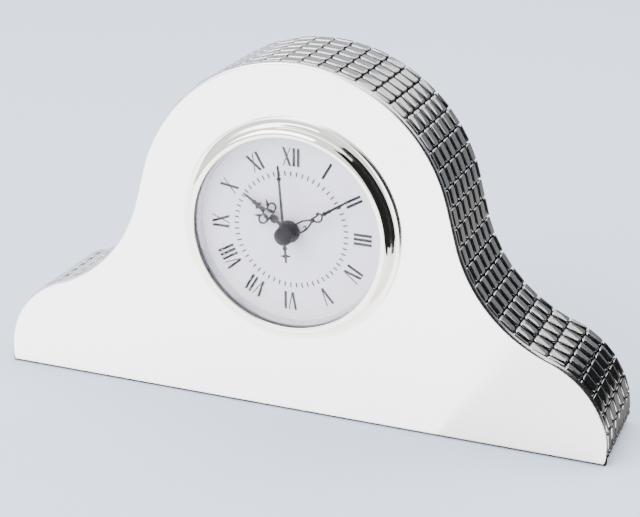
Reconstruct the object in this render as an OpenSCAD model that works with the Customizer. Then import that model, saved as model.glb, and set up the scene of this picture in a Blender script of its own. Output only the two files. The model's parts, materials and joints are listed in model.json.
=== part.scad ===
// Mantel clock with a curved plated front, a band of raised bars and a drop-in quartz insert.
// Millimetres. +Z up, the dial faces -Y, the origin is on the table under the middle of the case.

/* [Case] */
// Overall width of the case
case_w = 210; // [176:1:252]
// Overall height of the case
case_h = 117.8; // [99:0.1:141]
// Depth from the face of the front plate to the back board
case_d = 34.4; // [29:0.1:42]
// Radius of the crown arc over the dial
crown_r = 53.2; // [50:0.1:60]
// Angle that the crown arc sweeps to each side of the top
crown_sweep = 75; // [65:1:80]
// Straight flank under the crown arc
flank_len = 12.6; // [6:0.1:16]
// Radius of the shoulder arc at each end
shoulder_r = 29.6; // [24:0.1:34]
// Height of the upright heel under the shoulder
heel_h = 4.6; // [3:0.1:8]
// Thickness of the plated front plate
plate_t = 1.9; // [1.2:0.1:3]
// Thickness of the velvet covered back board
back_t = 2; // [1.5:0.1:4]
// Height of the underside of the case over the table
underside_h = 2.1; // [1.5:0.1:4]
// How far the dial's axis sits under the centre of the crown arc
dial_drop = 1.05; // [0:0.05:2]
// Radius of the round opening that takes the insert
bore_r = 33.2; // [32:0.1:40]

/* [Band] */
// Thickness of the dark backing strip
strip_t = 0.8; // [0.6:0.1:1.5]
// Height of a bar over the strip
bar_h = 1.3; // [0.8:0.1:2]
// How far the bars stand proud of the front plate's outline
bar_proud = 0.2; // [0:0.05:0.6]
// Distance between columns of bars along the outline
bar_pitch = 6.31; // [5:0.01:8]
// Gap between the ends of bars in neighbouring columns
bar_end_gap = 0.5; // [0.4:0.05:1]
// Gap between the bars of a column
bar_gap = 1.3; // [0.8:0.1:1.8]
// Whole bars in a column
bars_deep = 6; // [4:1:9]

/* [Insert] */
// How far the bezel's flange reaches over the plate round the opening
flange_over = 3.7; // [3:0.1:6]
// Width of the bezel's lip over the lens
lip_w = 0.9; // [0.6:0.1:1.5]
// How far the bezel stands in front of the plate
bezel_h = 4.85; // [4.5:0.05:6]
// Rise of the domed lens over its edge
lens_rise = 6; // [5.5:0.1:8]
// Thickness of the lens
lens_t = 1.2; // [1:0.1:1.6]
// Radius of the button cell
cell_r = 5.8; // [5:0.05:7]
// Thickness of the button cell
cell_t = 5.4; // [4.4:0.05:6.5]

/* [Hands] */
// Length of the hour hand from its axis
hour_hand_len = 19.3; // [17:0.1:21]
// Length of the minute hand from its axis
minute_hand_len = 24.3; // [22:0.1:27]
// Length of the second hand from its axis
second_hand_len = 22.9; // [20:0.1:25]
// Clockwise angle of the hour hand from the top
hour_angle = 305; // [0:1:359]
// Clockwise angle of the minute hand from the top
minute_angle = 57; // [0:1:359]
// Clockwise angle of the second hand from the top
second_angle = 355; // [0:1:359]

/* [Hidden] */
$fn = 96;
arc_steps = 30;
front_y = -case_d / 2;
back_y = case_d / 2;
crown_z = case_h - crown_r;
axis_z = crown_z - dial_drop;
half_w = case_w / 2;

// ---- outline of the case: crown arc, straight flank, waist arc, shoulder arc, upright heel
flank_top = [crown_r * sin(crown_sweep), crown_z + crown_r * cos(crown_sweep)];
flank_dir = [cos(crown_sweep), -sin(crown_sweep)];
flank_out = [sin(crown_sweep), cos(crown_sweep)];
flank_end = flank_top + flank_len * flank_dir;
shoulder_c = [half_w - shoulder_r, heel_h];
waist_span = flank_end - shoulder_c;
waist_r = (waist_span * waist_span - shoulder_r * shoulder_r)
    / (2 * (shoulder_r - waist_span * flank_out));
waist_c = flank_end + waist_r * flank_out;
shoulder_angle = atan2(waist_c[1] - shoulder_c[1], waist_c[0] - shoulder_c[0]);
waist_from = 270 - crown_sweep;
waist_to = shoulder_angle + 180;
crown_len = crown_r * crown_sweep * PI / 180;
waist_len = waist_r * (waist_to - waist_from) * PI / 180;
shoulder_len = shoulder_r * shoulder_angle * PI / 180;
half_len = crown_len + flank_len + waist_len + shoulder_len + heel_h - underside_h;

function arc_points(c, r, from, to) =
    [for (i = [0:arc_steps]) let (a = from + (to - from) * i / arc_steps) c + r * [cos(a), sin(a)]];

// Right half of the outline from the top down to height low, moved inwards by inset
function half_outline(inset, low) = concat(
    arc_points([0, crown_z], crown_r - inset, 90, 90 - crown_sweep),
    arc_points(waist_c, waist_r + inset, waist_from, waist_to),
    arc_points(shoulder_c, shoulder_r - inset, shoulder_angle, 0),
    [[half_w - inset, low]]);

function mirrored(points) = [for (i = [len(points) - 1:-1:1]) [-points[i][0], points[i][1]]];

module outline(inset, low) {
    right = half_outline(inset, low);
    polygon(concat(right, mirrored(right)));
}

// Extrudes a drawing in the X-Z plane from y_from back to y_to
module slab(y_from, y_to) {
    translate([0, y_to, 0]) rotate([90, 0, 0]) linear_extrude(height = y_to - y_from) children();
}

module bore_circle(r) {
    translate([0, axis_z]) circle(r);
}

// Place and heading on the outline at distance s from the top, on the right half
function station(s) =
    s < crown_len ? let (a = 90 - s / crown_r * 180 / PI)
        [[0, crown_z] + crown_r * [cos(a), sin(a)], [cos(a), sin(a)]]
    : s < crown_len + flank_len ? [flank_top + (s - crown_len) * flank_dir, flank_out]
    : s < crown_len + flank_len + waist_len
        ? let (a = waist_from + (s - crown_len - flank_len) / waist_r * 180 / PI)
        [waist_c + waist_r * [cos(a), sin(a)], -[cos(a), sin(a)]]
    : s < half_len - heel_h + underside_h
        ? let (a = shoulder_angle - (s - crown_len - flank_len - waist_len) / shoulder_r * 180 / PI)
        [shoulder_c + shoulder_r * [cos(a), sin(a)], [cos(a), sin(a)]]
    : [[half_w, heel_h - (s - half_len + heel_h - underside_h)], [1, 0]];

function mirror_x(v) = [-v[0], v[1]];
function full_station(s) = s >= 0 ? station(s) : [for (v = station(-s)) mirror_x(v)];

// ---- band
strip_out = bar_h - bar_proud;
strip_in = strip_out + strip_t;
bar_sink = 0.25;
bar_taper = 0.45;
band_front = front_y + plate_t;
band_d = case_d - plate_t;
row_pitch = (band_d + bar_gap) / bars_deep;
shortest_bar = 1.5;
columns = ceil((2 * half_len - shortest_bar - bar_end_gap) / bar_pitch);

// Bars of one column as [start, end] depths; every second column starts with a half bar
function rows(column) = column % 2 == 0
    ? [for (i = [0:bars_deep - 1]) [i * row_pitch, (i + 1) * row_pitch - bar_gap]]
    : [for (i = [0:bars_deep]) [max(0, (i - 0.5) * row_pitch), min(band_d, (i + 0.5) * row_pitch - bar_gap)]];

// Each bar as [middle, half length, front, back]; the band starts whole at the left end
// and its last column is cut off at the right end
bars = [for (c = [0:columns - 1])
    let (from = c * bar_pitch, to = min(from + bar_pitch, 2 * half_len))
    for (row = rows(c))
        [(from + to) / 2 - half_len, (to - from - bar_end_gap) / 2, band_front + row[0], band_front + row[1]]];

function ring_at(s, half, height, y0, y1) =
    let (st = full_station(s), p = st[0] + height * st[1], t = half * [st[1][1], -st[1][0]])
    [[p[0] - t[0], y0, p[1] - t[1]], [p[0] + t[0], y0, p[1] + t[1]],
     [p[0] + t[0], y1, p[1] + t[1]], [p[0] - t[0], y1, p[1] - t[1]]];

function bar_points(bar) = concat(
    ring_at(bar[0], bar[1], -strip_out - bar_sink, bar[2], bar[3]),
    ring_at(bar[0], bar[1] - bar_taper, bar_proud, bar[2] + bar_taper, bar[3] - bar_taper));

bar_faces = [[0, 1, 2, 3], [7, 6, 5, 4], [0, 4, 5, 1], [1, 5, 6, 2], [2, 6, 7, 3], [3, 7, 4, 0]];

// ---- insert: local z runs forward from the face of the front plate, along the dial's axis
module insert_frame() {
    translate([0, front_y, axis_z]) rotate([90, 0, 0]) children();
}

fit_gap = 0.05;
skirt_gap = 0.2;
part_gap = 0.1;
skirt_r = bore_r - skirt_gap;
skirt_t = 0.5;
skirt_back = -2.2;
seat_r = skirt_r - skirt_t;
sight_r = seat_r - lip_w;
flange_r = bore_r + flange_over;
shell_r = seat_r - 1.5;
lip_t = 0.4;
lens_front = bezel_h - lip_t;
lens_back = lens_front - lens_t;
gasket_t = 0.6;
dial_t = 0.5;
dial_front = -0.1;
dial_back = dial_front - dial_t;
plate_front = dial_back;
movement_plate_t = 1;
movement_r = shell_r - 2.8;
level_pitch = 1.2;
gear_t = 0.7;
first_level = plate_front - movement_plate_t - 0.4;
levels = 6;
rear_plate_front = first_level - levels * level_pitch;
rear_plate_back = rear_plate_front - movement_plate_t;
cover_t = 1.2;
shell_t = 2.4;
board_t = 0.8;
can_r = 1;
can_gap = 0.8;
insert_d = board_t + 2 * can_r + can_gap + cover_t - rear_plate_back;
cover_front = -insert_d + cover_t;
function level(i) = first_level - i * level_pitch;

module turned(points) {
    rotate_extrude() polygon(points);
}

module ring(r_out, r_in, low, high) {
    translate([0, 0, low]) linear_extrude(height = high - low) difference() {
        circle(r_out);
        circle(r_in);
    }
}

module disc(r, low, high) {
    translate([0, 0, low]) cylinder(r = r, h = high - low);
}

// ---- wheels and arbors
arbor_r = 0.4;
tube_in = arbor_r + fit_gap;
tube_out = 0.85;
hour_tube_in = tube_out + fit_gap;
hour_tube_out = 1.35;
knob_arbor_r = 0.75;
arbor_front = plate_front - 0.2;
arbor_back = rear_plate_back + 0.2;
center_x = [0, 0];
third_dist = 6.8;
outer_dist = 7.2;
rotor_dist = 5.25;
third_angle = 210;
fifth_angle = 330;
function polar(r, a) = [r * cos(a), r * sin(a)];
third_at = polar(third_dist, third_angle);
fifth_at = polar(outer_dist, fifth_angle);
minute_at = [0, outer_dist];
rotor_at = fifth_at + polar(rotor_dist, fifth_angle);

seconds_teeth = 40;
fifth_pinion_teeth = 8;
fifth_teeth = 36;
rotor_teeth = 6;
seconds_pinion_teeth = 8;
third_teeth = 60;
third_pinion_teeth = 8;
center_teeth = 64;
cannon_teeth = 12;
minute_teeth = 36;
minute_pinion_teeth = 10;
hour_teeth = 40;
function mesh_module(distance, a, b) = 2 * distance / (a + b);
seconds_m = mesh_module(outer_dist, seconds_teeth, fifth_pinion_teeth);
fifth_m = mesh_module(rotor_dist, fifth_teeth, rotor_teeth);
third_m = mesh_module(third_dist, third_teeth, seconds_pinion_teeth);
center_m = mesh_module(third_dist, center_teeth, third_pinion_teeth);
minute_m = mesh_module(outer_dist, minute_teeth, cannon_teeth);
hour_m = mesh_module(outer_dist, hour_teeth, minute_pinion_teeth);

addendum = 0.75;
dedendum = 1.15;
root_share = 0.27;
tip_share = 0.09;

// Outline of a gear whose first tooth points along the angle phase
function gear_points(teeth, m, phase) =
    let (r_root = m * (teeth / 2 - dedendum), r_tip = m * (teeth / 2 + addendum), step = 360 / teeth,
        root = step * root_share, tip = step * tip_share)
    [for (i = [0:teeth - 1]) let (a = phase + i * step)
        each [polar(r_root, a - root), polar(r_tip, a - tip), polar(r_tip, a + tip), polar(r_root, a + root)]];

module gear(at, teeth, m, phase, i, bore = 0) {
    translate([at[0], at[1], level(i) - gear_t]) linear_extrude(height = gear_t) difference() {
        polygon(gear_points(teeth, m, phase));
        if (bore > 0) circle(bore);
    }
}

module arbor(at, r, low, high) {
    translate([at[0], at[1], low]) cylinder(r = r, h = high - low);
}

// A gear with a tooth on the centre line meshes with a gap of its partner
function gap_phase(teeth, angle) = angle + 180 + 180 / teeth;

module arbor_bores() {
    circle(hour_tube_out + fit_gap);
    for (at = [third_at, fifth_at, rotor_at]) translate(at) circle(arbor_r + fit_gap);
    translate(minute_at) circle(knob_arbor_r + fit_gap);
}

// ---- places of the movement's fixed pieces
pillar_r = 1.8;
pillar_ring = movement_r - 3.2;
pillar_angles = [55, 165, 235, 290];
screw_r = 0.6;
screw_head_r = 1.15;
screw_head_h = 0.55;
movement_screw_len = 3.5;
cell_at = [cell_r + 6.4 - movement_r, cell_r + 3.2];
cell_gap = 0.2;
cell_back = cover_front + cell_gap;
cell_front = cell_back + cell_t;
coil_x = 20.2;
coil_low = -12;
coil_high = 3;
magnet_r = 2;
board_back = rear_plate_back - board_t;
hatch_r = cell_r + 0.9;
hatch_hole_r = hatch_r + cell_gap;

// ================= case =================
module front_plate() {
    color("gainsboro") slab(front_y, front_y + plate_t) difference() {
        outline(0, 0);
        bore_circle(bore_r);
    }
}

core_inset = strip_in;
core_back = back_y - back_t;
case_screw_r = 1.4;
case_screw_head = 2.6;
case_screw_len = 12;
case_screw_ring = (bore_r + crown_r - core_inset) / 2;
case_screws_at = [for (side = [-1, 1]) each [
    [side * case_screw_ring * cos(50), crown_z + case_screw_ring * sin(50)],
    [side * (half_w - 22), underside_h + 10]]];

module case_screw_holes(r) {
    for (at = case_screws_at) translate(at) circle(r);
}

module core_block() {
    color("burlywood") difference() {
        slab(band_front, core_back) difference() {
            outline(core_inset, underside_h);
            bore_circle(bore_r);
        }
        slab(core_back - case_screw_len - 1, core_back + 1) case_screw_holes(case_screw_r + fit_gap);
    }
}

module band_strip() {
    color("dimgray") slab(band_front, back_y) difference() {
        outline(strip_out, underside_h);
        outline(strip_in, underside_h - 1);
    }
}

module band_bars() {
    color("silver") polyhedron(
        points = [for (bar = bars) each bar_points(bar)],
        faces = [for (i = [0:len(bars) - 1]) for (f = bar_faces) [for (k = f) k + 8 * i]]);
}

back_gap = 0.1;
module back_board() {
    color("#161616") difference() {
        slab(core_back, back_y) difference() {
            outline(strip_in + back_gap, underside_h);
            bore_circle(bore_r);
            case_screw_holes(case_screw_r + fit_gap);
        }
        for (at = case_screws_at)
            translate([at[0], back_y - 1.2, at[1]]) rotate([-90, 0, 0])
                cylinder(r1 = case_screw_r + fit_gap, r2 = case_screw_head + 0.15, h = 1.25);
    }
}

module back_screws() {
    color("silver") for (at = case_screws_at)
        translate([at[0], back_y, at[1]]) rotate([90, 0, 0]) difference() {
            union() {
                cylinder(r = case_screw_r, h = case_screw_len);
                cylinder(r1 = case_screw_head, r2 = case_screw_r, h = 1.2);
            }
            for (turn = [0, 90]) rotate(turn) translate([-1.5, -0.25, -0.1]) cube([3, 0.5, 0.8]);
        }
}

pad_edge = 8;
pad_margin = 4;
pad_half_d = case_d / 2 - plate_t - pad_margin;
module base_pad() {
    color("#202020") translate([-(half_w - pad_edge), -pad_half_d, 0])
        cube([2 * (half_w - pad_edge), 2 * pad_half_d, underside_h]);
}

// ================= insert: glass and dial =================
flange_t = 1.2;
ring_r = flange_r - 1.9;
ring_foot = 1.9;
ring_round = 2.6;
module bezel() {
    color("whitesmoke") insert_frame() turned(concat(
        [[skirt_r, 0], [flange_r, 0], [flange_r, flange_t - 0.4], [flange_r - 0.3, flange_t - 0.1],
         [ring_r, flange_t], [ring_r, ring_foot]],
        [for (i = [0:10]) let (a = i * 9)
            [ring_r - ring_round + ring_round * cos(a), ring_foot + (bezel_h - ring_foot) * sin(a)]],
        [[sight_r, bezel_h - 0.15], [sight_r, lens_front], [seat_r, lens_front]],
        [[seat_r, skirt_back], [skirt_r, skirt_back]]));
}

lens_r = seat_r - part_gap;
dome_r = (sight_r * sight_r + lens_rise * lens_rise) / (2 * lens_rise);
dome_half = asin(sight_r / dome_r);
function dome(drop) = [for (i = [0:12]) let (a = dome_half * i / 12)
    [dome_r * sin(a), lens_front + lens_rise - drop - dome_r * (1 - cos(a))]];
module lens() {
    under = dome(lens_t);
    color("lightcyan", 0.4) insert_frame() turned(concat(
        dome(0), [[lens_r, lens_front], [lens_r, lens_back]],
        [for (i = [len(under) - 1:-1:0]) under[i]]));
}

module lens_gasket() {
    color("#303030") insert_frame() ring(lens_r, sight_r + part_gap, lens_back - gasket_t, lens_back);
}

module dial_ring() {
    color("#b8b6ba") insert_frame() turned([[sight_r - 1, dial_front], [lens_r, dial_front],
        [lens_r, lens_back - gasket_t], [sight_r - 0.2, lens_back - gasket_t]]);
}

module dial() {
    color("#e2deea") insert_frame() ring(seat_r - part_gap, hour_tube_out + 0.5, dial_back, dial_front);
}

// ---- printing on the dial
print_t = 0.06;
numeral_in = sight_r - 10.4;
numeral_out = sight_r - 4.4;
stroke_wide = 0.88;
stroke_thin = 0.37;
track_in = sight_r - 13.7;
track_out = sight_r - 12.1;
tick_w = 0.44;

// A slanting stroke from x0 at the foot to x1 at the top
module stroke(x0, x1, w) {
    polygon([[x0 - w / 2, numeral_in], [x0 + w / 2, numeral_in],
        [x1 + w / 2, numeral_out], [x1 - w / 2, numeral_out]]);
}
module glyph_i(x) { stroke(x, x, stroke_wide); }
module glyph_v(x) {
    stroke(x, x - 1.15, stroke_wide);
    stroke(x + 0.15, x + 1.15, stroke_thin);
}
module glyph_x(x) {
    stroke(x + 1.15, x - 1.15, stroke_wide);
    stroke(x - 1.15, x + 1.15, stroke_thin);
}
glyph_gap = 1.5;
glyph_v_w = 2.4;
numerals = ["I", "II", "III", "IV", "V", "VI", "VII", "VIII", "IX", "X", "XI", "XII"];
function glyph_w(c) = c == "I" ? 0 : glyph_v_w;
function glyph_x_at(word, i) = i == 0 ? 0
    : glyph_x_at(word, i - 1) + (glyph_w(word[i - 1]) + glyph_w(word[i])) / 2
        + glyph_gap - (word[i] == word[i - 1] ? 0 : 0.3);
module numeral(word) {
    shift = glyph_x_at(word, len(word) - 1) / 2 + (glyph_w(word[len(word) - 1]) - glyph_w(word[0])) / 4;
    for (i = [0:len(word) - 1]) {
        x = glyph_x_at(word, i) - shift;
        if (word[i] == "I") glyph_i(x);
        if (word[i] == "V") glyph_v(x);
        if (word[i] == "X") glyph_x(x);
    }
}
module hour_numerals() {
    color("#5a555c") insert_frame() translate([0, 0, dial_front]) linear_extrude(height = print_t)
        for (h = [1:12]) rotate(-30 * h) numeral(numerals[h - 1]);
}

module minute_track() {
    color("#5a555c") insert_frame() translate([0, 0, dial_front]) linear_extrude(height = print_t)
        for (i = [0:59]) rotate(6 * i) translate([-tick_w / 2, track_in]) square([tick_w, track_out - track_in]);
}

// ================= insert: shell =================
cover_screw_angles = [45:90:315];
cover_screw_len = 5;
slot_w = 0.3;
slot_d = 0.3;
module insert_shell() {
    color("#222222") insert_frame() difference() {
        union() {
            ring(seat_r - part_gap, shell_r - shell_t, skirt_back - 0.4, dial_back);
            ring(shell_r, shell_r - shell_t, cover_front, dial_back);
        }
        for (a = cover_screw_angles) translate(polar(shell_r - shell_t / 2, a))
            disc(screw_r + fit_gap, cover_front - 1, cover_screw_len - insert_d + 1);
    }
}

grip_w = 3;
// A slot across a screw head whose outer face is at height low
module screw_slot(low) {
    translate([-screw_head_r, -slot_w / 2, low - 0.1])
        cube([2 * screw_head_r, slot_w, slot_d + 0.1]);
}

module grip_ring() {
    color("#151515") insert_frame()
        ring(bore_r - part_gap, shell_r, -insert_d / 2 - grip_w / 2, -insert_d / 2 + grip_w / 2);
}

module rear_cover() {
    color("#1c1c1c") insert_frame()
        translate([0, 0, -insert_d]) linear_extrude(height = cover_t) difference() {
        circle(shell_r);
        translate(minute_at) circle(knob_arbor_r + 0.25);
        translate(cell_at) circle(hatch_hole_r);
        for (a = cover_screw_angles) translate(polar(shell_r - shell_t / 2, a)) circle(screw_r + fit_gap);
    }
}

module cover_screws() {
    color("silver") insert_frame() for (a = cover_screw_angles) translate(polar(shell_r - shell_t / 2, a))
        difference() {
            union() {
                disc(screw_head_r, -insert_d - screw_head_h, -insert_d);
                disc(screw_r, -insert_d, cover_screw_len - insert_d);
            }
            screw_slot(-insert_d - screw_head_h);
        }
}

module front_movement_plate() {
    color("ivory") insert_frame() difference() {
        union() {
            translate([0, 0, plate_front - movement_plate_t]) linear_extrude(height = movement_plate_t)
                difference() {
                    circle(movement_r);
                    arbor_bores();
                }
            for (a = pillar_angles) translate(polar(pillar_ring, a))
                disc(pillar_r, rear_plate_front, plate_front - movement_plate_t);
        }
        for (a = pillar_angles) translate(polar(pillar_ring, a))
            disc(screw_r + fit_gap, rear_plate_front - 1, rear_plate_front + movement_screw_len + 0.5);
    }
}

module rear_movement_plate() {
    color("ivory") insert_frame() translate([0, 0, rear_plate_back])
        linear_extrude(height = movement_plate_t) difference() {
            circle(movement_r);
            circle(arbor_r + fit_gap);
            for (at = [third_at, fifth_at, rotor_at]) translate(at) circle(arbor_r + fit_gap);
            translate(minute_at) circle(knob_arbor_r + fit_gap);
            translate(cell_at) circle(cell_r + cell_gap);
            translate(cell_at + [cell_r - 0.6, -2.2]) square([1.4, 4.4]);
            for (a = pillar_angles) translate(polar(pillar_ring, a)) circle(screw_r + fit_gap);
        }
}

module movement_screws() {
    color("silver") insert_frame() for (a = pillar_angles) translate(polar(pillar_ring, a))
        difference() {
            union() {
                disc(screw_head_r, rear_plate_back - screw_head_h, rear_plate_back);
                disc(screw_r, rear_plate_back, rear_plate_front + movement_screw_len);
            }
            screw_slot(rear_plate_back - screw_head_h);
        }
}

// ================= insert: motor =================
stator_ring = 4.3;
stator_hole = magnet_r + 0.35;
stator_level = 3;
core_w = 2.4;
module stator() {
    low = level(stator_level) - gear_t;
    color("lightsteelblue") insert_frame() {
        translate([0, 0, low]) linear_extrude(height = gear_t) difference() {
            union() {
                translate(rotor_at) circle(stator_ring);
                translate([rotor_at[0], rotor_at[1] - 4.2]) square([coil_x + core_w / 2 - rotor_at[0], 2.6]);
                translate([rotor_at[0], rotor_at[1] + 1.6]) square([5.4, 2.6]);
                translate([rotor_at[0] + 3, rotor_at[1] + 1.6])
                    square([2.4, coil_high + 2.6 - rotor_at[1] - 1.6]);
                translate([rotor_at[0] + 3, coil_high]) square([coil_x + core_w / 2 - rotor_at[0] - 3, 2.6]);
                translate([coil_x - core_w / 2, coil_low - 2.6])
                    square([core_w, rotor_at[1] - 1.6 - coil_low + 2.6]);
                translate([coil_x - core_w / 2, coil_low - 2.6]) square([core_w, coil_high - coil_low + 5.2]);
            }
            translate(rotor_at) circle(stator_hole);
        }
    }
}

coil_mid = level(stator_level) - gear_t / 2;
module along_coil(from, to) {
    translate([coil_x, to, coil_mid]) rotate([90, 0, 0]) linear_extrude(height = to - from) children();
}
winding_r = 2.6;
bobbin_low = rotor_at[1] - 1.4;
bobbin_wall = 0.6;
module core_hole() {
    translate([-core_w / 2 - fit_gap, -gear_t / 2 - fit_gap])
        square([core_w + 2 * fit_gap, gear_t + 2 * fit_gap]);
}
module coil_bobbin() {
    color("white") insert_frame() {
        along_coil(bobbin_low, bobbin_low + bobbin_wall) difference() { circle(3); core_hole(); }
        along_coil(coil_high - bobbin_wall - part_gap, coil_high - part_gap) difference() {
            circle(3);
            core_hole();
        }
        along_coil(bobbin_low, coil_high - part_gap) difference() { circle(1.7); core_hole(); }
    }
}
module coil_winding() {
    color("#b5651d") insert_frame() along_coil(bobbin_low + bobbin_wall, coil_high - bobbin_wall - part_gap)
        difference() { circle(winding_r); circle(1.7); }
}

module circuit_board() {
    color("darkgreen") insert_frame() translate([0, 0, board_back]) linear_extrude(height = board_t)
        polygon([[-8, -22], [4, -22], [4, -14.5], [22, -12], [22, 10], [4, 10], [4, 1.5], [-8, 1.5]]);
}
module quartz_can() {
    color("silver") insert_frame() translate([18, 6, board_back - can_r]) rotate([90, 0, 0])
        cylinder(r = can_r, h = 6);
}
module chip() {
    color("#101010") insert_frame() translate([8, -8, board_back - 1]) linear_extrude(height = 1) circle(2.6);
}
strap_t = 0.25;
module contact_plus() {
    color("gold") insert_frame() {
        translate([cell_at[0] - 2, cell_at[1] + cell_r + 0.02, cell_back])
            cube([4, strap_t, rear_plate_back - cell_back]);
        translate([cell_at[0] - 2, cell_at[1] + cell_r + 0.02, rear_plate_back - strap_t])
            cube([4, 4, strap_t]);
    }
}
module contact_minus() {
    color("gold") insert_frame() {
        translate([cell_at[0] - 3, cell_at[1] - 2, cell_front + 0.05]) cube([cell_r + 3 + 0.5, 4, strap_t]);
        translate([cell_at[0] + cell_r + 0.3, cell_at[1] - 2, rear_plate_back])
            cube([strap_t, 4, cell_front + 0.05 + strap_t - rear_plate_back]);
    }
}

// ================= insert: going train =================
module rotor() {
    color("#606468") insert_frame() {
        arbor(rotor_at, arbor_r, arbor_back, arbor_front);
        arbor(rotor_at, magnet_r, level(4) - 0.4, level(2) - gear_t);
        gear(rotor_at, rotor_teeth, fifth_m, gap_phase(rotor_teeth, fifth_angle), 5);
    }
}
module fifth_wheel() {
    color("goldenrod") insert_frame() {
        arbor(fifth_at, arbor_r, arbor_back, arbor_front);
        gear(fifth_at, fifth_teeth, fifth_m, fifth_angle, 5);
        gear(fifth_at, fifth_pinion_teeth, seconds_m, gap_phase(fifth_pinion_teeth, fifth_angle), 4);
    }
}
hand_t = 0.35;
hub_drop = 0.25;
glass_room = 3.65;
hour_hand_z = 1.3;
second_hand_z = lens_front + lens_rise - lens_t - glass_room;
minute_hand_z = (hour_hand_z + second_hand_z) / 2 - hub_drop;
cap_h = 1.1;
module seconds_wheel() {
    color("goldenrod") insert_frame() {
        arbor(center_x, arbor_r, arbor_back, second_hand_z + cap_h - 0.1);
        gear(center_x, seconds_teeth, seconds_m, fifth_angle, 4);
        gear(center_x, seconds_pinion_teeth, third_m, gap_phase(seconds_pinion_teeth, third_angle + 180), 3);
    }
}
module third_wheel() {
    color("goldenrod") insert_frame() {
        arbor(third_at, arbor_r, arbor_back, arbor_front);
        gear(third_at, third_teeth, third_m, third_angle + 180, 3);
        gear(third_at, third_pinion_teeth, center_m, gap_phase(third_pinion_teeth, third_angle), 2);
    }
}
module center_wheel() {
    color("goldenrod") insert_frame()
        gear(center_x, center_teeth, center_m, third_angle, 2, tube_out + fit_gap);
}

// ================= insert: motion works =================
module cannon_pinion() {
    color("goldenrod") insert_frame() {
        ring(tube_out, tube_in, level(2) - gear_t - 0.2, minute_hand_z + hand_t + 0.3);
        gear(center_x, cannon_teeth, minute_m, 90, 1, tube_out - 0.01);
    }
}
module minute_wheel() {
    color("goldenrod") insert_frame() {
        arbor(minute_at, knob_arbor_r, -insert_d - 1.5, arbor_front);
        gear(minute_at, minute_teeth, minute_m, gap_phase(minute_teeth, 90), 1);
        gear(minute_at, minute_pinion_teeth, hour_m, gap_phase(minute_pinion_teeth, 90), 0);
    }
}
knob_r = 4.5;
knob_low = -insert_d - 3.6;
knob_h = 2.4;
knurl_step = 15;
knurl_w = 0.5;
module setting_knob() {
    color("#2a2a2a") insert_frame() translate(minute_at) difference() {
        union() {
            translate([0, 0, knob_low]) linear_extrude(height = knob_h) union() {
                circle(knob_r);
                for (a = [0:knurl_step:345])
                    rotate(a) translate([knob_r - 0.15, -knurl_w / 2]) square([0.45, knurl_w]);
            }
            disc(2, knob_low + knob_h, -insert_d - 0.3);
        }
        disc(knob_arbor_r, -insert_d - 1.5, 0);
    }
}
module hour_wheel() {
    color("goldenrod") insert_frame() {
        ring(hour_tube_out, hour_tube_in, level(0) - gear_t - 0.1, hour_hand_z + hand_t + 0.2);
        gear(center_x, hour_teeth, hour_m, 90, 0, hour_tube_out - 0.01);
    }
}

// ================= hands =================
hub_r = 3.7;
minute_hub_r = 3.3;
cap_r = 3;
cap_bevel = 0.4;
second_hand_t = 0.25;
wire = 0.55;

function unit(v) = v / norm(v);
function heading(p, i) = unit(p[min(i + 1, len(p) - 1)] - p[max(i - 1, 0)]);
function beside(p, i, d) = p[i] + d * [-heading(p, i)[1], heading(p, i)[0]];

// A strip of even width w along the points of p
module ribbon(p, w) {
    last = len(p) - 1;
    polygon(concat([for (i = [0:last]) beside(p, i, w / 2)], [for (i = [last:-1:0]) beside(p, i, -w / 2)]));
}

// A strip of even width that closes into an oval
module oval(at, rx, ry, w) {
    translate(at) difference() {
        polygon([for (a = [0:15:345]) [rx * cos(a), ry * sin(a)]]);
        polygon([for (a = [0:15:345]) [(rx - w) * cos(a), (ry - w) * sin(a)]]);
    }
}

module both_sides() {
    children();
    mirror([1, 0]) children();
}

// Ornate hour hand pointing up: a ball, an arch between two oval loops with horns, two knots and a spear
module hour_shape() {
    circle(hub_r);
    translate([-wire, hub_r - 0.6]) square([2 * wire, 2.4]);
    translate([0, 6.1]) circle(1.4);
    translate([-2.3, 7.25]) square([4.6, wire]);
    both_sides() {
        oval([2.55, 8.95], 1.85, 1.6, wire);
        ribbon([[1.75, 7.6], [1.5, 8.9], [0.95, 10], [0.1, 10.75]], wire);
        polygon([[1.9, 10.6], [2.7, 10.2], [3.25, 11.1], [3.6, 12.2], [2.9, 11.5]]);
    }
    polygon([[-1, 10.1], [1, 10.1], [0.55, 11.9], [1.4, 12.7],
        [0.5, 13.7], [-0.5, 13.7], [-1.4, 12.7], [-0.55, 11.9]]);
    translate([0, 14.4]) circle(0.75);
    polygon([[-0.5, 13.2], [0.5, 13.2], [0.3, hour_hand_len - 1.5],
        [0, hour_hand_len], [-0.3, hour_hand_len - 1.5]]);
}

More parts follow.
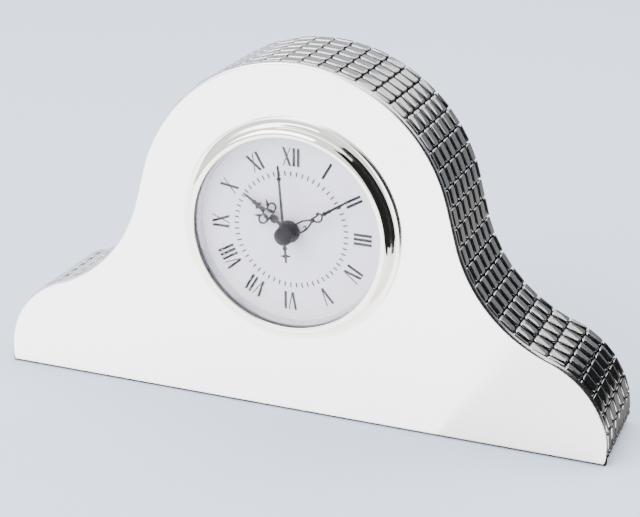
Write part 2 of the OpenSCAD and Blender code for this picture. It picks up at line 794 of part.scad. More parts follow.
// Ornate minute hand pointing up: an open loop with a curl, a knot, a hooked loop, two knots and a spear
module minute_shape() {
    circle(minute_hub_r);
    ribbon([[-0.9, 2.8], [-1.25, 5.2], [-1.2, 7.2], [-0.65, 8.9], [0.1, 10.3]], wire);
    ribbon([[1.5, 2.6], [1.85, 5.2], [1.75, 6.8], [1.1, 8.5], [0.1, 10.3]], wire);
    ribbon([[1.75, 5.3], [1.5, 6.6], [0.9, 7.2], [0.5, 6.8], [0.75, 6.2]], 0.4);
    translate([0.05, 10.3]) circle(0.75);
    ribbon([[0.1, 10.3], [1.15, 11.3], [1.55, 12.4], [1.25, 13.3], [0.1, 14.2]], wire);
    ribbon([[0, 10.3], [-0.5, 11.3], [-0.45, 12.2], [-0.95, 13]], wire);
    ribbon([[-0.95, 13], [-0.6, 13.8], [0.1, 14.2]], wire);
    translate([-0.95, 13.05]) circle(0.55);
    translate([0, 15.2]) circle(0.7);
    translate([0, 16.9]) circle(0.6);
    polygon([[-0.45, 13.8], [0.45, 13.8], [0.36, minute_hand_len - 2],
        [0, minute_hand_len], [-0.36, minute_hand_len - 2]]);
}

// Second hand pointing up: a flat blade with a bead, and a tail with a bulge and a four-pointed star
tail_len = 9;
star_at = -6.8;
module second_shape() {
    polygon([[-0.45, 0], [0.45, 0], [0.33, second_hand_len], [-0.33, second_hand_len]]);
    translate([0, second_hand_len - 4.3]) circle(0.75);
    polygon([[-0.4, 0], [0.4, 0], [0.33, -tail_len], [-0.33, -tail_len]]);
    translate([0, -4.2]) circle(0.75);
    translate([0, star_at]) both_sides()
        polygon([[0, 1], [0.5, 0.45], [1.9, 0], [0.5, -0.45], [0, -1.1]]);
}

module hour_hand() {
    color("#3c3a40") insert_frame() rotate(-hour_angle) difference() {
        union() {
            translate([0, 0, hour_hand_z]) linear_extrude(height = hand_t) hour_shape();
            disc(hub_r - 1, hour_hand_z - 0.5, hour_hand_z + hand_t);
        }
        disc(hour_tube_out, -1, minute_hand_z);
    }
}
module minute_hand() {
    color("#3c3a40") insert_frame() rotate(-minute_angle) difference() {
        union() {
            translate([0, 0, minute_hand_z]) linear_extrude(height = hand_t) minute_shape();
            disc(minute_hub_r - 1, minute_hand_z - 0.4, minute_hand_z + hand_t);
        }
        disc(tube_out, -1, second_hand_z);
    }
}
module second_hand() {
    color("#3c3a40") insert_frame() rotate(-second_angle) difference() {
        union() {
            translate([0, 0, second_hand_z]) linear_extrude(height = second_hand_t) second_shape();
            disc(cap_r, second_hand_z - 0.1, second_hand_z + cap_h);
            translate([0, 0, second_hand_z + cap_h]) cylinder(r1 = cap_r, r2 = cap_r - cap_bevel, h = 0.3);
        }
        disc(arbor_r, -1, second_hand_z + cap_h - 0.1);
    }
}

// ================= battery =================
module battery() {
    color("silver") insert_frame() translate([cell_at[0], cell_at[1], 0]) {
        disc(cell_r, cell_back, cell_front - 0.6);
        disc(cell_r - 1, cell_front - 0.6, cell_front);
    }
}
module battery_hatch() {
    color("#2a2a2a") insert_frame() translate([cell_at[0], cell_at[1], 0]) difference() {
        disc(hatch_r, -insert_d, cover_front);
        translate([-3.5, -0.5, -insert_d - 0.1]) cube([7, 1, 0.7]);
    }
}

front_plate();
core_block();
band_strip();
band_bars();
back_board();
back_screws();
base_pad();
bezel();
lens();
lens_gasket();
dial_ring();
dial();
hour_numerals();
minute_track();
insert_shell();
grip_ring();
rear_cover();
cover_screws();
front_movement_plate();
rear_movement_plate();
movement_screws();
stator();
coil_bobbin();
coil_winding();
circuit_board();
quartz_can();
chip();
contact_plus();
contact_minus();
rotor();
fifth_wheel();
seconds_wheel();
second_hand();
third_wheel();
center_wheel();
cannon_pinion();
minute_hand();
minute_wheel();
setting_knob();
hour_wheel();
hour_hand();
battery();
battery_hatch();
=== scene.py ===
import json
import math

import bmesh
import bpy
from mathutils import Matrix, Vector


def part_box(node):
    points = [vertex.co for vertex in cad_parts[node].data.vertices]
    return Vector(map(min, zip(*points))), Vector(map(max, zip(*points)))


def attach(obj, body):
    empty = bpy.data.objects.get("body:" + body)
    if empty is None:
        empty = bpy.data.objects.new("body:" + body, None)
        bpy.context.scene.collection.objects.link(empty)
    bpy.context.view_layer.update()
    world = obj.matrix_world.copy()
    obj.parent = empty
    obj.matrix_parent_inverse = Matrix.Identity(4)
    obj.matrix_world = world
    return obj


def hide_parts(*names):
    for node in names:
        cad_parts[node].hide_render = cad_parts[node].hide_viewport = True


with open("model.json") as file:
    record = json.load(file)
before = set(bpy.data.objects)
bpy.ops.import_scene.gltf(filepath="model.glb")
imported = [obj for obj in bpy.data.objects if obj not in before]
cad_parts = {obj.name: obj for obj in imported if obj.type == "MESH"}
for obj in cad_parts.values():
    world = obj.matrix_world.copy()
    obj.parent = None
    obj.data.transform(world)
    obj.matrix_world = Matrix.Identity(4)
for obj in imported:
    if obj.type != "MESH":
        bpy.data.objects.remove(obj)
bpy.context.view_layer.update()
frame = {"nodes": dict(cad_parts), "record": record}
NODES = frame["nodes"]
MM = 0.001

# ---------------------------------------------------------------- places taken from the frame
PLATE_LOW, PLATE_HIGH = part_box("front_plate")
BEZEL_LOW, BEZEL_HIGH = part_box("bezel")
LENS_LOW, LENS_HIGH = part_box("lens")
PLATE_FACE = PLATE_LOW.y
AXIS_Z = (BEZEL_LOW.z + BEZEL_HIGH.z) / 2
FLANGE_R = (BEZEL_HIGH.x - BEZEL_LOW.x) / 2
LENS_R = (LENS_HIGH.x - LENS_LOW.x) / 2
BEZEL_H = PLATE_FACE - BEZEL_LOW.y
DOME_TOP = PLATE_FACE - LENS_LOW.y


# ---------------------------------------------------------------- mesh helpers
def new_object(name, verts, faces, smooth=True):
    mesh = bpy.data.meshes.new(name)
    mesh.from_pydata([tuple(v) for v in verts], [], faces)
    mesh.update()
    obj = bpy.data.objects.new(name, mesh)
    bpy.context.scene.collection.objects.link(obj)
    if smooth:
        mesh.polygons.foreach_set("use_smooth", [True] * len(mesh.polygons))
    return obj


def outward(obj):
    """Turns every face outwards."""
    bm = bmesh.new()
    bm.from_mesh(obj.data)
    bmesh.ops.recalc_face_normals(bm, faces=bm.faces)
    bm.to_mesh(obj.data)
    bm.free()
    return obj


def sharpen(obj, degrees):
    """Keeps edges over this angle crisp on a smooth mesh."""
    bm = bmesh.new()
    bm.from_mesh(obj.data)
    limit = math.radians(degrees)
    for edge in bm.edges:
        if len(edge.link_faces) == 2 and edge.calc_face_angle(0) > limit:
            edge.smooth = False
    bm.to_mesh(obj.data)
    bm.free()
    return obj


def lathe(name, profile, segments=192, closed=True):
    """Revolves (radius, forward) points, in metres, about the dial's axis."""
    verts, faces = [], []
    count = len(profile)
    for s in range(segments):
        a = 2 * math.pi * s / segments
        for radius, forward in profile:
            verts.append((radius * math.sin(a), PLATE_FACE - forward, AXIS_Z + radius * math.cos(a)))
    last = count if closed else count - 1
    for s in range(segments):
        t = (s + 1) % segments
        for i in range(last):
            j = (i + 1) % count
            faces.append((s * count + i, s * count + j, t * count + j, t * count + i))
    obj = new_object(name, verts, faces)
    bm = bmesh.new()
    bm.from_mesh(obj.data)
    bmesh.ops.remove_doubles(bm, verts=bm.verts, dist=1e-6)
    bmesh.ops.recalc_face_normals(bm, faces=bm.faces)
    bm.to_mesh(obj.data)
    bm.free()
    return obj


def boundary_loop(node, depth):
    """The outer outline (x, z) of a slab node, read off its vertices at one depth and put in order."""
    centre_z = 0.015
    found = {}
    for v in NODES[node].data.vertices:
        if abs(v.co.y - depth) < 1e-5:
            found[(round(v.co.x, 6), round(v.co.z, 6))] = True
    bore = min(math.hypot(x, z - AXIS_Z) for x, z in found) * 1.001
    outer = [p for p in found if math.hypot(p[0], p[1] - AXIS_Z) > bore]
    low = min(z for _, z in outer)
    heels = sorted((p for p in outer if p[1] < low + 1e-6), key=lambda p: p[0])
    rest = [p for p in outer if p[1] >= low + 1e-6]
    rest.sort(key=lambda p: (math.atan2(p[1] - centre_z, p[0]) + math.pi / 2) % (2 * math.pi))
    return [heels[-1]] + rest + [heels[0]]


# ---------------------------------------------------------------- material helpers
def material(name):
    mat = bpy.data.materials.new(name)
    mat.use_nodes = True
    nodes, links = mat.node_tree.nodes, mat.node_tree.links
    return mat, nodes, links, nodes["Principled BSDF"]


def noise(nodes, links, scale, detail=4.0, stretch=(1, 1, 1), rough=0.5):
    """Object-space noise, stretched along an axis."""
    place = nodes.new("ShaderNodeTexCoord")
    mapping = nodes.new("ShaderNodeMapping")
    mapping.inputs["Scale"].default_value = stretch
    tex = nodes.new("ShaderNodeTexNoise")
    tex.inputs["Scale"].default_value = scale
    tex.inputs["Detail"].default_value = detail
    tex.inputs["Roughness"].default_value = rough
    links.new(place.outputs["Object"], mapping.inputs["Vector"])
    links.new(mapping.outputs["Vector"], tex.inputs["Vector"])
    return tex.outputs["Fac"]


def spread(nodes, links, source, low, high, start=0.3, end=0.7):
    """Maps a noise value onto a range."""
    node = nodes.new("ShaderNodeMapRange")
    node.inputs["From Min"].default_value = start
    node.inputs["From Max"].default_value = end
    node.inputs["To Min"].default_value = low
    node.inputs["To Max"].default_value = high
    links.new(source, node.inputs["Value"])
    return node.outputs["Result"]


def ramp(nodes, links, source, stops):
    node = nodes.new("ShaderNodeValToRGB")
    while len(node.color_ramp.elements) < len(stops):
        node.color_ramp.elements.new(0.5)
    for element, (place, colour) in zip(node.color_ramp.elements, stops):
        element.position = place
        element.color = (*colour, 1)
    links.new(source, node.inputs["Fac"])
    return node.outputs["Color"]


def bump(nodes, links, bsdf, height, strength, distance):
    node = nodes.new("ShaderNodeBump")
    node.inputs["Strength"].default_value = strength
    node.inputs["Distance"].default_value = distance
    links.new(height, node.inputs["Height"])
    links.new(node.outputs["Normal"], bsdf.inputs["Normal"])


def metal(name, colour, rough, vary=0.04, scale=60.0, stretch=(1, 1, 1), depth=0.0, tint=0.03):
    """Polished or brushed metal: slightly uneven tone and polish, and fine wear."""
    mat, nodes, links, bsdf = material(name)
    bsdf.inputs["Metallic"].default_value = 1.0
    tone = noise(nodes, links, scale * 0.3, 3, stretch)
    dark = tuple(c * (1 - tint) for c in colour)
    links.new(ramp(nodes, links, tone, [(0.35, dark), (0.65, colour)]), bsdf.inputs["Base Color"])
    wear = noise(nodes, links, scale, 6, stretch, 0.6)
    links.new(spread(nodes, links, wear, max(rough - vary, 0.01), rough + vary), bsdf.inputs["Roughness"])
    if depth:
        fine = noise(nodes, links, scale * 8, 3, stretch)
        bump(nodes, links, bsdf, fine, 0.25, depth)
    return mat


def plastic(name, colour, rough, grain=1500.0, depth=0.00002, tint=0.08, gloss=0.5):
    """Moulded plastic or lacquer: fine texture, faint tone and gloss changes."""
    mat, nodes, links, bsdf = material(name)
    bsdf.inputs["Specular IOR Level"].default_value = gloss
    tone = noise(nodes, links, 90, 4)
    dark = tuple(c * (1 - tint) for c in colour)
    links.new(ramp(nodes, links, tone, [(0.3, dark), (0.7, colour)]), bsdf.inputs["Base Color"])
    worn = spread(nodes, links, noise(nodes, links, 300, 3), rough * 0.85, rough * 1.15)
    links.new(worn, bsdf.inputs["Roughness"])
    bump(nodes, links, bsdf, noise(nodes, links, grain, 2), 0.3, depth)
    return mat


def pile_fabric(name, colour, nap):
    """Velvet or felt: short fibres, a soft sheen and a brushed tone."""
    mat, nodes, links, bsdf = material(name)
    tone = noise(nodes, links, 40, 5)
    light = tuple(min(1, c * 1.9 + 0.01) for c in colour)
    links.new(ramp(nodes, links, tone, [(0.35, colour), (0.7, light)]), bsdf.inputs["Base Color"])
    bsdf.inputs["Roughness"].default_value = 0.95
    bsdf.inputs["Sheen Weight"].default_value = 0.6
    bsdf.inputs["Sheen Roughness"].default_value = 0.4
    bump(nodes, links, bsdf, noise(nodes, links, nap, 3), 0.6, 0.00015)
    return mat


def wood_board(name):
    """Sawn fibreboard: fine specks and a slight layering."""
    mat, nodes, links, bsdf = material(name)
    fibres = noise(nodes, links, 220, 8, (1, 6, 1), 0.7)
    tone = ramp(nodes, links, fibres, [(0.3, (0.36, 0.24, 0.14)), (0.7, (0.60, 0.44, 0.28))])
    links.new(tone, bsdf.inputs["Base Color"])
    bsdf.inputs["Roughness"].default_value = 0.8
    bump(nodes, links, bsdf, fibres, 0.3, 0.0002)
    return mat


def clear_glass(name):
    """Thin clear mineral glass that lets the light through to the dial."""
    mat, nodes, links, bsdf = material(name)
    bsdf.inputs["Base Color"].default_value = (1, 1, 1, 1)
    bsdf.inputs["Roughness"].default_value = 0.0
    bsdf.inputs["IOR"].default_value = 1.45
    bsdf.inputs["Transmission Weight"].default_value = 1.0
    bsdf.inputs["Alpha"].default_value = 0.04
    return mat


# ---------------------------------------------------------------- materials
MATS = {
    "silver_plate": metal("polished_silver_plate", (0.975, 0.965, 0.975), 0.2, 0.03, 25, tint=0.008),
    "band_silver": metal("polished_band_bars", (0.66, 0.65, 0.64), 0.10, 0.04, 300, tint=0.06),
    # band_dark: its near-black colour is painted shade, for the dark gaps between the bars and the bars' upright
    # sides.
    "band_dark": metal("band_painted_gap_shade", (0.035, 0.035, 0.04), 0.45, 0.1, 200, tint=0.3),
    "case_wood": wood_board("fibreboard"),
    "velvet": pile_fabric("black_velvet", (0.012, 0.012, 0.014), 2600),
    "felt": pile_fabric("black_felt", (0.02, 0.02, 0.022), 1400),
    "screw_steel": metal("nickelled_screws", (0.62, 0.61, 0.60), 0.25, 0.06, 500),
    "bezel_nickel": metal("polished_nickel_bezel", (0.85, 0.835, 0.765), 0.05, 0.015, 60, tint=0.01),
    "lens_glass": clear_glass("clear_lens"),
    "gasket_plastic": plastic("soft_gasket", (0.12, 0.12, 0.125), 0.6),
    "dial_ring_grey": metal("satin_dial_ring", (0.72, 0.715, 0.74), 0.28, 0.04, 200),
    "dial_white": plastic("dial_lacquer", (0.90, 0.86, 0.935), 0.35, 2500, 0.000004, 0.02),
    "print_grey": plastic("dial_print", (0.022, 0.019, 0.024), 0.5, 2000, 0.000004, gloss=0.12),
    "shell_black": plastic("moulded_shell", (0.02, 0.02, 0.02), 0.45),
    "rubber_black": plastic("rubber_ring", (0.015, 0.015, 0.015), 0.75, 900, 0.00005),
    "movement_plastic": plastic("ivory_moulding", (0.78, 0.75, 0.66), 0.35),
    "stator_steel": metal("stamped_stator", (0.55, 0.57, 0.62), 0.3, 0.05, 300),
    "bobbin_plastic": plastic("white_bobbin", (0.8, 0.8, 0.78), 0.5),
    "copper_wire": metal("enamelled_wire", (0.72, 0.33, 0.14), 0.25, 0.05, 400, (1, 1, 20), 0.00003),
    "board_green": plastic("solder_mask", (0.03, 0.16, 0.07), 0.3),
    "can_metal": metal("drawn_can", (0.7, 0.7, 0.71), 0.2, 0.05, 300),
    "epoxy_black": plastic("potting_blob", (0.012, 0.012, 0.012), 0.2),
    "contact_brass": metal("contact_strip", (0.83, 0.66, 0.33), 0.25, 0.05, 300),
    "magnet_grey": metal("sintered_magnet", (0.3, 0.31, 0.33), 0.4, 0.06, 400),
    "wheel_brass": metal("cut_brass", (0.86, 0.66, 0.30), 0.22, 0.05, 400),
    "hand_black": plastic("hand_lacquer", (0.022, 0.019, 0.024), 0.38, 2500, 0.000004, gloss=0.12),
    "knob_black": plastic("moulded_knob", (0.02, 0.02, 0.02), 0.4),
    "cell_steel": metal("cell_can", (0.78, 0.78, 0.78), 0.15, 0.04, 300),
}
SLOTS = {s["node"]: s["material_slot"] for s in frame["record"]["subparts"]}


def paint(obj, slot):
    obj.data.materials.clear()
    obj.data.materials.append(MATS[slot])


def stand_for(obj, node, body):
    """A detailed piece takes the place of one CAD node, on its body and in its slot."""
    paint(obj, SLOTS[node])
    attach(obj, body)
    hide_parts(node)
    return obj


for node_name, cad in NODES.items():
    paint(cad, SLOTS[node_name])


# ---------------------------------------------------------------- front plate with a rounded edge
def inset_loop(points, inset):
    """Moves an open outline inwards; its two ends stay on the bottom edge."""
    out = []
    last = len(points) - 1
    for i, (x, z) in enumerate(points):
        before = points[max(i - 1, 0)]
        after = points[min(i + 1, last)]
        tx, tz = after[0] - before[0], after[1] - before[1]
        length = math.hypot(tx, tz)
        out.append((x - inset * tz / length, z + inset * tx / length))
    return out


def plate_piece():
    """The plate's outline swept with a rounded front edge, and its round opening."""
    outline = boundary_loop("front_plate", PLATE_FACE)
    thick = PLATE_HIGH.y - PLATE_FACE
    edge = 0.75 * MM
    opening = FLANGE_R - 1.5 * MM
    levels = [(0.0, PLATE_HIGH.y)]
    steps = 6
    for k in range(steps + 1):
        a = math.pi / 2 * k / steps
        levels.append((edge * (1 - math.cos(a)), PLATE_FACE + edge * (1 - math.sin(a))))
    verts, faces = [], []
    count = len(outline)
    for inset, y in levels:
        for i, (x, z) in enumerate(inset_loop(outline, inset)):
            low = inset if i in (0, count - 1) else z
            side = math.copysign(abs(outline[i][0]) - inset, x) if i in (0, count - 1) else x
            verts.append((side, y, low if i in (0, count - 1) else z))
    rings = len(levels)
    for r in range(rings - 1):
        for i in range(count):
            j = (i + 1) % count
            faces.append((r * count + i, r * count + j, (r + 1) * count + j, (r + 1) * count + i))
    obj = new_object("front_plate_polished", verts, faces)
    bm = bmesh.new()
    bm.from_mesh(obj.data)
    bm.verts.ensure_lookup_table()
    hole_count = 160

    def cap(ring, y):
        bm.verts.ensure_lookup_table()
        base = [bm.verts[ring * count + i] for i in range(count)]
        hole = [bm.verts.new((opening * math.sin(2 * math.pi * k / hole_count), y,
                              AXIS_Z + opening * math.cos(2 * math.pi * k / hole_count))) for k in range(hole_count)]
        edges = [bm.edges.get((base[i], base[(i + 1) % count])) for i in range(count)]
        hole_edges = [bm.edges.new((hole[k], hole[(k + 1) % hole_count])) for k in range(hole_count)]
        bmesh.ops.triangle_fill(bm, use_beauty=True, use_dissolve=False, edges=edges + hole_edges)
        return hole

    front = cap(rings - 1, PLATE_FACE)
    back = cap(0, PLATE_HIGH.y)
    for k in range(hole_count):
        n = (k + 1) % hole_count
        bm.faces.new((front[k], front[n], back[n], back[k]))
    bmesh.ops.recalc_face_normals(bm, faces=bm.faces)
    for face in bm.faces:
        face.smooth = abs(face.normal.y) < 0.9999
    bm.to_mesh(obj.data)
    bm.free()
    assert thick > edge
    sharpen(obj, 35)
    return stand_for(obj, "front_plate", "case")


# ---------------------------------------------------------------- band of bars
def bar_corners():
    """Each CAD bar as the list of its corner points, gathered by following its edges."""
    bm = bmesh.new()
    bm.from_mesh(NODES["band_bars"].data)
    bmesh.ops.remove_doubles(bm, verts=bm.verts, dist=1e-6)
    seen, bars = set(), []
    for start in bm.verts:
        if start.index in seen:
            continue
        group, queue = [], [start]
        seen.add(start.index)
        while queue:
            vert = queue.pop()
            group.append(vert.co.copy())
            for edge in vert.link_edges:
                other = edge.other_vert(vert)
                if other.index not in seen:
                    seen.add(other.index)
                    queue.append(other)
        bars.append(group)
    bm.free()
    return bars


def bar_frame(corners):
    """Centre of the base, the directions along the outline, into the depth and outwards, and the sizes."""
    depth = Vector((0, 1, 0))
    low = min(c.y for c in corners)
    high = max(c.y for c in corners)
    base = [c for c in corners if abs(c.y - low) < 1e-6 or abs(c.y - high) < 1e-6]
    top = [c for c in corners if c not in base]
    base_mid = sum(base, Vector()) / len(base)
    top_mid = sum(top, Vector()) / len(top)
    out = top_mid - base_mid
    height = out.length
    out.normalize()
    along = depth.cross(out).normalized()
    length = 2 * max(abs((c - base_mid).dot(along)) for c in base)
    return base_mid, along, depth, out, length, high - low, height


BAR_CROWN = 0.06 * MM
BAR_ROUND = 0.75 * MM
BAR_GROW = 0.06 * MM
# levels of a bar's side as (inset, drop under the top): an upright wall, then a rounded edge
BAR_SIDE = [(0.0, 0.40), (0.03, 0.28), (0.10, 0.16), (0.22, 0.07), (0.36, 0.02), (0.48, 0.0)]


def bar_mesh(verts, faces, painted_shade_index, spec):
    """One bar: rounded corners, upright sides in near-black painted shade, a polished rounded edge and a barely
    crowned top.
    """
    mid, along, depth, out, length, width, height = spec
    half_a, half_b = length / 2 + BAR_GROW, width / 2
    levels = [(0.0, 0.0)] + [(inset * MM, height - drop * MM) for inset, drop in BAR_SIDE]
    levels.append((0.45 * half_b, height + BAR_CROWN))
    corner_steps = 4
    start = len(verts)
    ring_size = 4 * (corner_steps + 1)
    for inset, h in levels:
        a, b = half_a - inset, half_b - inset
        r = max(min(BAR_ROUND - inset * 0.6, a * 0.7, b * 0.7), 0.05 * MM)
        for quadrant, (sa, sb) in enumerate(((1, 1), (-1, 1), (-1, -1), (1, -1))):
            for k in range(corner_steps + 1):
                t = math.pi / 2 * (quadrant + k / corner_steps)
                verts.append(mid + along * (sa * (a - r) + r * math.cos(t))
                             + depth * (sb * (b - r) + r * math.sin(t)) + out * h)
    for level in range(len(levels) - 1):
        for i in range(ring_size):
            j = (i + 1) % ring_size
            p, q = start + level * ring_size, start + (level + 1) * ring_size
            faces.append((p + i, p + j, q + j, q + i))
            painted_shade_index.append(1 if level == 0 else 0)
    faces.append(tuple(start + i for i in reversed(range(ring_size))))
    faces.append(tuple(start + (len(levels) - 1) * ring_size + i for i in range(ring_size)))
    painted_shade_index.extend([1, 0])


def band_piece():
    verts, faces, painted_shade_index = [], [], []
    for corners in bar_corners():
        bar_mesh(verts, faces, painted_shade_index, bar_frame(corners))
    obj = outward(new_object("band_bars_polished", verts, faces))
    stand_for(obj, "band_bars", "case")
    # The bars' upright sides and undersides take the near-black band_dark material: painted shade for the gaps
    # between the bars.
    obj.data.materials.append(MATS["band_dark"])
    obj.data.polygons.foreach_set("material_index", painted_shade_index)
    return sharpen(obj, 50)


# ---------------------------------------------------------------- bezel, lens and dial ring
FLANGE_T = 1.2 * MM
RING_R = FLANGE_R - 1.9 * MM
LIP_T = 0.4 * MM
SIGHT_R = LENS_R - 0.8 * MM


def bezel_piece():
    """Flange, a fine step, a fully rounded ring and a thin lip over the lens."""
    foot = 1.75 * MM
    rise = BEZEL_H - foot
    crest = SIGHT_R + 0.85 * MM
    points = [(FLANGE_R, 0)]
    points += [(FLANGE_R - 0.35 * MM * (1 - math.cos(a)), FLANGE_T - 0.35 * MM + 0.35 * MM * math.sin(a))
               for a in (math.pi / 2 * k / 5 for k in range(6))]
    points += [(RING_R + 0.12 * MM, FLANGE_T + 0.02 * MM), (RING_R + 0.02 * MM, FLANGE_T + 0.1 * MM),
               (RING_R, foot)]
    for k in range(1, 17):
        a = math.pi / 2 * k / 16
        points.append((crest + (RING_R - crest) * math.cos(a), foot + rise * math.sin(a)))
    inner = crest - SIGHT_R
    for k in range(1, 8):
        a = math.pi / 2 * k / 7
        points.append((crest - inner * math.sin(a), BEZEL_H - 0.3 * MM * (1 - math.cos(a))))
    points += [(SIGHT_R, BEZEL_H - LIP_T), (LENS_R + 0.1 * MM, BEZEL_H - LIP_T)]
    skirt = PLATE_FACE - BEZEL_HIGH.y
    points += [(LENS_R + 0.1 * MM, skirt), (LENS_R + 0.6 * MM, skirt), (LENS_R + 0.6 * MM, 0)]
    obj = lathe("bezel_polished", points, 256)
    sharpen(obj, 45)
    return stand_for(obj, "bezel", "insert")


def lens_piece():
    """Domed glass with an evenly curved face and a flat rim under the bezel's lip."""
    rim_top = BEZEL_H - LIP_T
    sight = SIGHT_R
    rise = DOME_TOP - rim_top
    thick = 1.2 * MM
    radius = (sight ** 2 + rise ** 2) / (2 * rise)
    span = math.asin(sight / radius)
    steps = 28

    def face(drop):
        return [(radius * math.sin(span * k / steps),
                 rim_top + rise - drop - radius * (1 - math.cos(span * k / steps)))
                for k in range(steps + 1)]

    outer, inner = face(0), face(thick)
    profile = outer + [(LENS_R, rim_top), (LENS_R, rim_top - thick)] + inner[::-1]
    obj = lathe("lens_domed", profile, 160, closed=False)
    sharpen(obj, 30)
    return stand_for(obj, "lens", "insert")


# ---------------------------------------------------------------- edges broken on small turned and stamped pieces
def refined(node, body, name, width, degrees=35, segments=2):
    """A copy of a CAD node's shape whose sharp edges are rounded, as on the real pressed or moulded piece."""
    mesh = NODES[node].data.copy()
    obj = bpy.data.objects.new(name, mesh)
    bpy.context.scene.collection.objects.link(obj)
    bm = bmesh.new()
    bm.from_mesh(mesh)
    bmesh.ops.remove_doubles(bm, verts=bm.verts, dist=2e-6)
    bmesh.ops.dissolve_limit(bm, angle_limit=math.radians(1), verts=bm.verts, edges=bm.edges)
    limit = math.radians(degrees)
    edges = [e for e in bm.edges if len(e.link_faces) == 2 and e.calc_face_angle(0) > limit]
    bmesh.ops.bevel(bm, geom=edges, offset=width, segments=segments, profile=0.6, affect="EDGES",
                    clamp_overlap=True)
    bmesh.ops.recalc_face_normals(bm, faces=bm.faces)
    for face in bm.faces:
        face.smooth = True
    bm.to_mesh(mesh)
    bm.free()
    sharpen(obj, 32)
    return stand_for(obj, node, body)


HOUR_LOW, HOUR_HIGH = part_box("hour_hand")
MINUTE_LOW, MINUTE_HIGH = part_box("minute_hand")


def hub_collar(name, body, radius, bore, low, high):
    """A turned collar on a hand's hub: upright rim, broad chamfer and a flat top, in the hands' black lacquer."""
    shoulder = (high - low) * 0.35
    points = [(bore, low), (radius, low), (radius, low + shoulder),
              (radius - 0.08 * MM, low + shoulder + 0.08 * MM),
              (radius * 0.74, high - 0.04 * MM), (radius * 0.72, high), (bore, high)]
    obj = lathe(name, points, 96)
    sharpen(obj, 30)
    paint(obj, "hand_black")
    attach(obj, body)
    return obj


def hands():
    refined("hour_hand", "hour_shaft", "hour_hand_bevelled", 0.07 * MM)
    refined("minute_hand", "minute_shaft", "minute_hand_bevelled", 0.07 * MM)
    refined("second_hand", "seconds_shaft", "second_hand_bevelled", 0.06 * MM)
    hour_top = PLATE_FACE - HOUR_LOW.y
    minute_top = PLATE_FACE - MINUTE_LOW.y
    sink = 0.02 * MM
    hub_collar("hour_hub_collar", "hour_shaft", 3.55 * MM, 1.5 * MM, hour_top - sink, hour_top + 0.75 * MM)
    hub_collar("minute_hub_collar", "minute_shaft", 3.15 * MM, 0.95 * MM,
               minute_top - sink, minute_top + 0.9 * MM)


# ---------------------------------------------------------------- camera, stage and light
CAMERA_AT = Vector((0.19005, -0.48015, 0.2505))
TURN, TILT, ROLL = math.radians(21.253), math.radians(21.448), math.radians(0.32)
CAMERA_LENS = 95.07


def aim(turn, tilt, roll):
    back = Vector((math.sin(turn) * math.cos(tilt), -math.cos(turn) * math.cos(tilt), math.sin(tilt)))
    right = Vector((math.cos(turn), math.sin(turn), 0))
    up = back.cross(right)
    right_r = right * math.cos(roll) + up * math.sin(roll)
    up_r = up * math.cos(roll) - right * math.sin(roll)
    return Matrix((right_r, up_r, back)).transposed().to_4x4()


def add_camera():
    data = bpy.data.cameras.new("camera")
    data.lens = CAMERA_LENS
    data.sensor_width = 36
    data.sensor_fit = "HORIZONTAL"
    data.clip_start = 0.01
    camera = bpy.data.objects.new("camera", data)
    camera.matrix_world = Matrix.Translation(CAMERA_AT) @ aim(TURN, TILT, ROLL)
    bpy.context.scene.collection.objects.link(camera)
    bpy.context.scene.camera = camera


def area_light(name, at, target, size, power, colour=(1, 1, 1)):
    data = bpy.data.lights.new(name, "AREA")
    data.shape = "RECTANGLE"
    data.size, data.size_y = size
    data.energy = power
    data.color = colour
    light = bpy.data.objects.new(name, data)
    light.location = at
    light.rotation_euler = (Vector(target) - Vector(at)).to_track_quat("-Z", "Y").to_euler()
    light.visible_camera = False
    bpy.context.scene.collection.objects.link(light)


def flat_material(name, colour, rough=0.9):
    mat, nodes, links, bsdf = material(name)
    bsdf.inputs["Base Color"].default_value = (*colour, 1)
    bsdf.inputs["Roughness"].default_value = rough
    bsdf.inputs["Specular IOR Level"].default_value = 0.0
    return mat


def card(name, corners, shade, glow=0.0):
    """A plain card beside the object that the camera doesn't see, only its reflection; glow lights it."""
    obj = new_object(name, corners, [(0, 1, 2, 3)], smooth=False)
    obj.visible_camera = False
    obj.visible_shadow = False
    obj.visible_diffuse = False
    mat = flat_material(name, (shade, shade, shade))
    bsdf = next(node for node in mat.node_tree.nodes if node.type == "BSDF_PRINCIPLED")
    bsdf.inputs["Emission Color"].default_value = (1, 0.99, 1, 1)
    bsdf.inputs["Emission Strength"].default_value = glow
    obj.data.materials.append(mat)
    return obj


def upright(name, start, end, low, high, shade):
    """An upright card over a line on the floor."""
    (x0, y0), (x1, y1) = start, end
    return card(name, [(x0, y0, low), (x1, y1, low), (x1, y1, high), (x0, y0, high)], shade)


def level_card(name, corners, height, shade, glow=0.0):
    """A level card at this height, given by the corners of its plan."""
    return card(name, [(x, y, height) for x, y in corners], shade, glow)


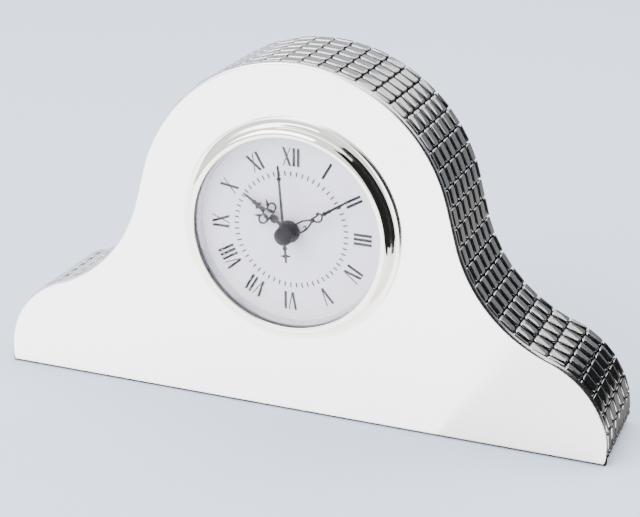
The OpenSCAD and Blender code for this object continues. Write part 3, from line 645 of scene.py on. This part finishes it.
def add_stage():
    size = 6.0
    floor = new_object("floor", [(-size, -size, 0), (size, -size, 0), (size, size, 0), (-size, size, 0)],
                       [(0, 1, 2, 3)], smooth=False)
    floor.data.materials.append(flat_material("pale_floor", (0.605, 0.695, 0.835)))
    world = bpy.data.worlds.new("studio")
    bpy.context.scene.world = world
    world.use_nodes = True
    background = world.node_tree.nodes["Background"]
    background.inputs["Color"].default_value = (0.97, 0.98, 1.0, 1)
    background.inputs["Strength"].default_value = 1.9


def add_cards():
    """Dark cards for the bezel and the band to mirror, and two bright ones in front for the plate."""
    black, dark, grey = 0.01, 0.12, 0.3
    upright("card_right", (0.2, -0.26), (0.2, 0.10), 0.0, 0.34, black)
    upright("card_right_corner", (0.27, 0.10), (0.148, 0.13), 0.0, 0.26, black)
    upright("card_behind", (0.02, 0.62), (1.0, 0.50), 0.0, 0.30, dark)
    upright("card_bezel", (0.085, -0.22), (0.15, -0.07), 0.0, 0.34, black)
    upright("card_behind_left", (-0.7, 0.62), (0.02, 0.62), 0.18, 0.6, grey)
    level_card("card_above", [(-0.3, 0.06), (0.2, 0.06), (0.2, 0.16), (-0.3, 0.16)], 0.34, 0.05)
    near = PLATE_FACE - 1.2 * MM
    far = -0.7
    level = 0.4 * MM
    # The two glowing floor cards are no lamps: seen only in reflection, they paint the plate's bright reflection.
    level_card("card_floor_front", [(-0.8, far), (0.10, far), (0.05, near), (-0.8, near)], level, 0.9, 2.2)
    level_card("card_floor_right", [(0.10, far), (0.6, far), (0.6, near), (0.05, near)], level, 0.85, 0.9)
    # A black card under the plate's front edge, seen only in reflection, paints the shade of the gap under the plate
    # as a dark line along its rounded bottom edge.
    level_card("card_gap_painted_shade", [(-0.12, near), (0.12, near), (0.12, 0.012), (-0.12, 0.012)], level, black)
    level_card("card_floor_behind", [(0.107, -0.01), (0.9, -0.01), (0.9, 0.6), (0.03, 0.6)], MM, dark)


def add_lights():
    area_light("key_softbox", (-0.55, -0.85, 0.75), (0, 0, 0.05), (1.0, 0.8), 17)
    area_light("top_softbox", (0.0, 0.35, 1.1), (0, 0, 0.0), (1.2, 0.7), 13)


add_camera()
plate_piece()
band_piece()
bezel_piece()
lens_piece()
hands()
add_stage()
add_cards()
add_lights()

bpy.context.view_layer.update()
